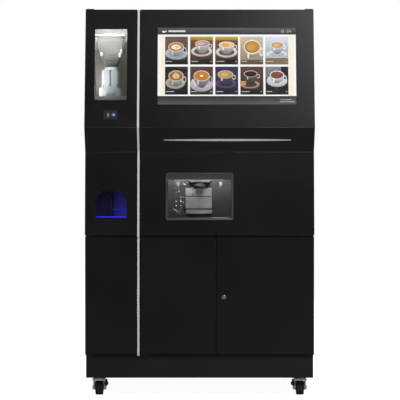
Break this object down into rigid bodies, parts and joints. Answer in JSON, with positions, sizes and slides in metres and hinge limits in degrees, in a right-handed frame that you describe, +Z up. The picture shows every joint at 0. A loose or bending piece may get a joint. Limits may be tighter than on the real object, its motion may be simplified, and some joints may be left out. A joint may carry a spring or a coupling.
{
  "type": "hot coffee vending machine",
  "caption": "Free-standing hot drink vending machine on castors, with a large screen, bean hopper window, lifting delivery door, lit side port and lower service doors.",
  "frame": {"origin": "on the floor, under the middle of the machine", "axes": "+X to the machine's right as seen from the front, +Y to its back, +Z up"},
  "size_m": [1.16, 0.8201, 1.977],
  "materials": {
    "black_panel": "fine satin powder coat",
    "black_plastic": "fine texture",
    "blue_plastic": "gloss",
    "bright_aluminium": "brushed, bright",
    "cabinet_coat": "satin powder coat",
    "clear_glass": "clear",
    "clear_plastic": "clear",
    "grey_plastic": "satin",
    "screen_glass": "gloss",
    "stainless": "brushed",
    "tyre_rubber": "matt",
    "water_plastic": "clear blue",
    "white_plastic": "satin",
    "zinc_steel": "zinc plated"
  },
  "bodies": {
    "cabinet": {"back_panel": "cabinet_coat", "base_chassis": "cabinet_coat", "bean_hopper": "clear_plastic", "boiler": "grey_plastic", "brewer_housing": "grey_plastic", "control_box": "grey_plastic", "cup_dispenser": "grey_plastic", "delivery_chamber": "stainless", "drip_tray": "stainless", "face_frame": "cabinet_coat", "grinder": "white_plastic", "grinder_shelf": "stainless", "grounds_bin": "black_plastic", "hinge_plates": "zinc_steel", "mid_deck": "zinc_steel", "mixer_shelf": "zinc_steel", "mixing_chambers": "white_plastic", "nozzle_head": "black_plastic", "partition_wall": "cabinet_coat", "powder_canisters": "white_plastic", "roof_panel": "cabinet_coat", "service_inlets": "black_plastic", "side_panel_left": "cabinet_coat", "side_panel_right": "cabinet_coat", "silver_strip": "bright_aluminium", "waste_bucket": "white_plastic", "water_bottles": "water_plastic"},
    "upper_left_door": {"upper_left_door_frame": "black_panel", "upper_left_window_panel": "black_panel", "upper_left_slope_panel": "black_panel", "upper_left_port_panel": "black_panel", "hopper_window": "clear_glass", "payment_reader": "black_plastic", "port_liner": "blue_plastic"},
    "upper_right_door": {"upper_right_door_frame": "black_panel", "display_panel": "black_panel", "display_glass": "screen_glass", "display_module": "black_plastic", "upper_right_slope_panel": "black_panel", "slope_trim": "bright_aluminium", "delivery_panel": "black_panel", "delivery_bezel": "grey_plastic", "lift_motor": "zinc_steel"},
    "delivery_door": {"delivery_door": "clear_plastic"},
    "lift_pinion": {"lift_pinion": "zinc_steel"},
    "lower_left_door": {"lower_left_door": "black_panel"},
    "lower_middle_door": {"lower_middle_door": "black_panel"},
    "lower_right_door": {"lower_right_door": "black_panel"},
    "lock": {"lock_barrel": "stainless"},
    "hopper_lid": {"hopper_lid": "black_plastic"},
    "brewer_piston": {"brewer_piston": "stainless"},
    "cup_turret": {"cup_turret": "white_plastic"},
    "castor_fork_front_left": {"castor_fork_front_left": "zinc_steel"},
    "castor_wheel_front_left": {"castor_wheel_front_left": "tyre_rubber"},
    "castor_fork_front_right": {"castor_fork_front_right": "zinc_steel"},
    "castor_wheel_front_right": {"castor_wheel_front_right": "tyre_rubber"},
    "castor_fork_rear_left": {"castor_fork_rear_left": "zinc_steel"},
    "castor_wheel_rear_left": {"castor_wheel_rear_left": "tyre_rubber"},
    "castor_fork_rear_right": {"castor_fork_rear_right": "zinc_steel"},
    "castor_wheel_rear_right": {"castor_wheel_rear_right": "tyre_rubber"}
  },
  "joints": [
    {"name": "upper_left_door_swing", "type": "hinge", "parent": "cabinet", "child": "upper_left_door", "pos_m": [-0.57, -0.31, 0.8235], "axis": [0, 0, -1], "range_deg": [0, 105]},
    {"name": "upper_right_door_swing", "type": "hinge", "parent": "cabinet", "child": "upper_right_door", "pos_m": [0.57, -0.31, 0.8235], "axis": [0, 0, 1], "range_deg": [0, 105]},
    {"name": "lower_left_door_swing", "type": "hinge", "parent": "cabinet", "child": "lower_left_door", "pos_m": [-0.571, -0.355, 0.22], "axis": [0, 0, -1], "range_deg": [0, 105]},
    {"name": "lower_middle_door_swing", "type": "hinge", "parent": "cabinet", "child": "lower_middle_door", "pos_m": [-0.291, -0.355, 0.22], "axis": [0, 0, -1], "range_deg": [0, 100]},
    {"name": "lower_right_door_swing", "type": "hinge", "parent": "cabinet", "child": "lower_right_door", "pos_m": [0.571, -0.355, 0.22], "axis": [0, 0, 1], "range_deg": [0, 105]},
    {"name": "delivery_door_lift", "type": "slide", "parent": "upper_right_door", "child": "delivery_door", "axis": [0, 0.0498, 0.9988], "range_m": [0, 0.21363]},
    {"name": "lift_pinion_spin", "type": "hinge", "parent": "upper_right_door", "child": "lift_pinion", "pos_m": [0.1942, -0.34165, 1.12109], "axis": [0, -0.9988, 0.0498], "continuous": true},
    {"name": "lock_turn", "type": "hinge", "parent": "lower_right_door", "child": "lock", "pos_m": [0.123, -0.364, 0.511], "axis": [0, -1, 0], "range_deg": [0, 90]},
    {"name": "hopper_lid_lift", "type": "hinge", "parent": "cabinet", "child": "hopper_lid", "pos_m": [-0.463, -0.088, 1.8535], "axis": [-1, 0, 0], "range_deg": [0, 40]},
    {"name": "brewer_piston_slide", "type": "slide", "parent": "cabinet", "child": "brewer_piston", "axis": [0, 0, -1], "range_m": [0, 0.045]},
    {"name": "cup_turret_spin", "type": "hinge", "parent": "cabinet", "child": "cup_turret", "pos_m": [0, -0.074, 1.295], "axis": [0, 0, 1], "continuous": true},
    {"name": "castor_swivel_front_left", "type": "hinge", "parent": "cabinet", "child": "castor_fork_front_left", "pos_m": [-0.516, -0.281, 0.096], "axis": [0, 0, 1], "continuous": true},
    {"name": "castor_roll_front_left", "type": "hinge", "parent": "castor_fork_front_left", "child": "castor_wheel_front_left", "pos_m": [-0.516, -0.255, 0.0375], "axis": [1, 0, 0], "continuous": true},
    {"name": "castor_swivel_front_right", "type": "hinge", "parent": "cabinet", "child": "castor_fork_front_right", "pos_m": [0.516, -0.281, 0.096], "axis": [0, 0, 1], "continuous": true},
    {"name": "castor_roll_front_right", "type": "hinge", "parent": "castor_fork_front_right", "child": "castor_wheel_front_right", "pos_m": [0.516, -0.255, 0.0375], "axis": [1, 0, 0], "continuous": true},
    {"name": "castor_swivel_rear_left", "type": "hinge", "parent": "cabinet", "child": "castor_fork_rear_left", "pos_m": [-0.516, 0.31, 0.096], "axis": [0, 0, 1], "continuous": true},
    {"name": "castor_roll_rear_left", "type": "hinge", "parent": "castor_fork_rear_left", "child": "castor_wheel_rear_left", "pos_m": [-0.516, 0.336, 0.0375], "axis": [1, 0, 0], "continuous": true},
    {"name": "castor_swivel_rear_right", "type": "hinge", "parent": "cabinet", "child": "castor_fork_rear_right", "pos_m": [0.516, 0.31, 0.096], "axis": [0, 0, 1], "continuous": true},
    {"name": "castor_roll_rear_right", "type": "hinge", "parent": "castor_fork_rear_right", "child": "castor_wheel_rear_right", "pos_m": [0.516, 0.336, 0.0375], "axis": [1, 0, 0], "continuous": true}
  ],
  "couplings": [
    {"joint": "lift_pinion_spin", "follows": "delivery_door_lift", "rad_per_m": -83.333}
  ]
}
